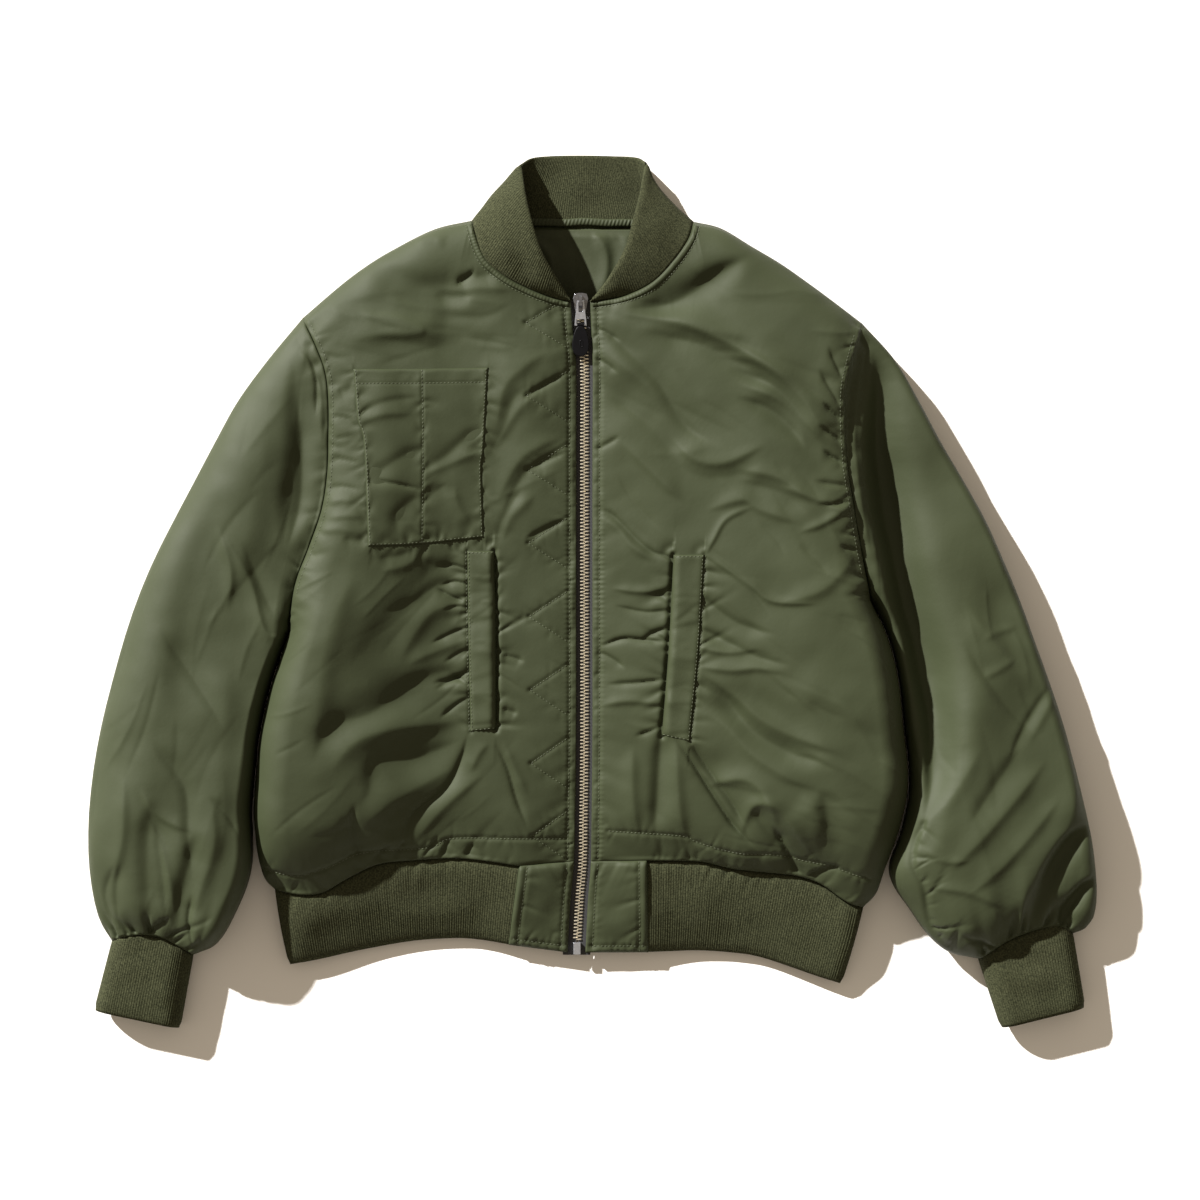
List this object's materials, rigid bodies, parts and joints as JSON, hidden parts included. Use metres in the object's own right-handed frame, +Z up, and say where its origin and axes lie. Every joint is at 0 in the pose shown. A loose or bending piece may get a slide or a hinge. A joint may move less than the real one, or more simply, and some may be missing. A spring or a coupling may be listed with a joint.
{
  "type": "bomber jacket laid flat",
  "caption": "Padded nylon bomber jacket laid flat and zipped up, with knitted collar, cuffs and hem band, a chest patch pocket and slanted welt pockets.",
  "frame": {"origin": "on the table, under the middle of the jacket's back", "axes": "+X towards the wearer's left side, +Y from hem to collar, +Z up from the table"},
  "size_m": [0.91, 0.791, 0.0723],
  "materials": {
    "olive_nylon": "satin padded nylon",
    "olive_rib": "matt knitted rib",
    "charcoal_tape": "woven tape",
    "silver_metal": "satin nickel plate",
    "black_rubber": "moulded, half matt"
  },
  "bodies": {
    "jacket": {"back": "olive_nylon", "back_lining": "olive_nylon", "front_right": "olive_nylon", "front_left": "olive_nylon", "sleeve_right_upper": "olive_nylon", "sleeve_right_under": "olive_nylon", "sleeve_left_upper": "olive_nylon", "sleeve_left_under": "olive_nylon", "pocket_chest": "olive_nylon", "welt_right": "olive_nylon", "welt_left": "olive_nylon", "hem_tab_right": "olive_nylon", "hem_tab_left": "olive_nylon", "collar_rib": "olive_rib", "cuff_right": "olive_rib", "cuff_left": "olive_rib", "hem_rib": "olive_rib", "zip_tape_right": "charcoal_tape", "zip_tape_left": "charcoal_tape", "zip_slider": "silver_metal", "zip_box": "silver_metal"},
    "lever": {"zip_lever": "silver_metal"},
    "pull_tab": {"zip_tab": "black_rubber"}
  },
  "joints": [
    {"name": "lever_hinge", "type": "hinge", "parent": "jacket", "child": "lever", "pos_m": [-0.0066, 0.2625, 0.03449], "axis": [-1, 0, 0], "range_deg": [0, 150]},
    {"name": "tab_hinge", "type": "hinge", "parent": "lever", "child": "pull_tab", "pos_m": [-0.0066, 0.2415, 0.03449], "axis": [-1, 0, 0], "range_deg": [0, 90]}
  ]
}
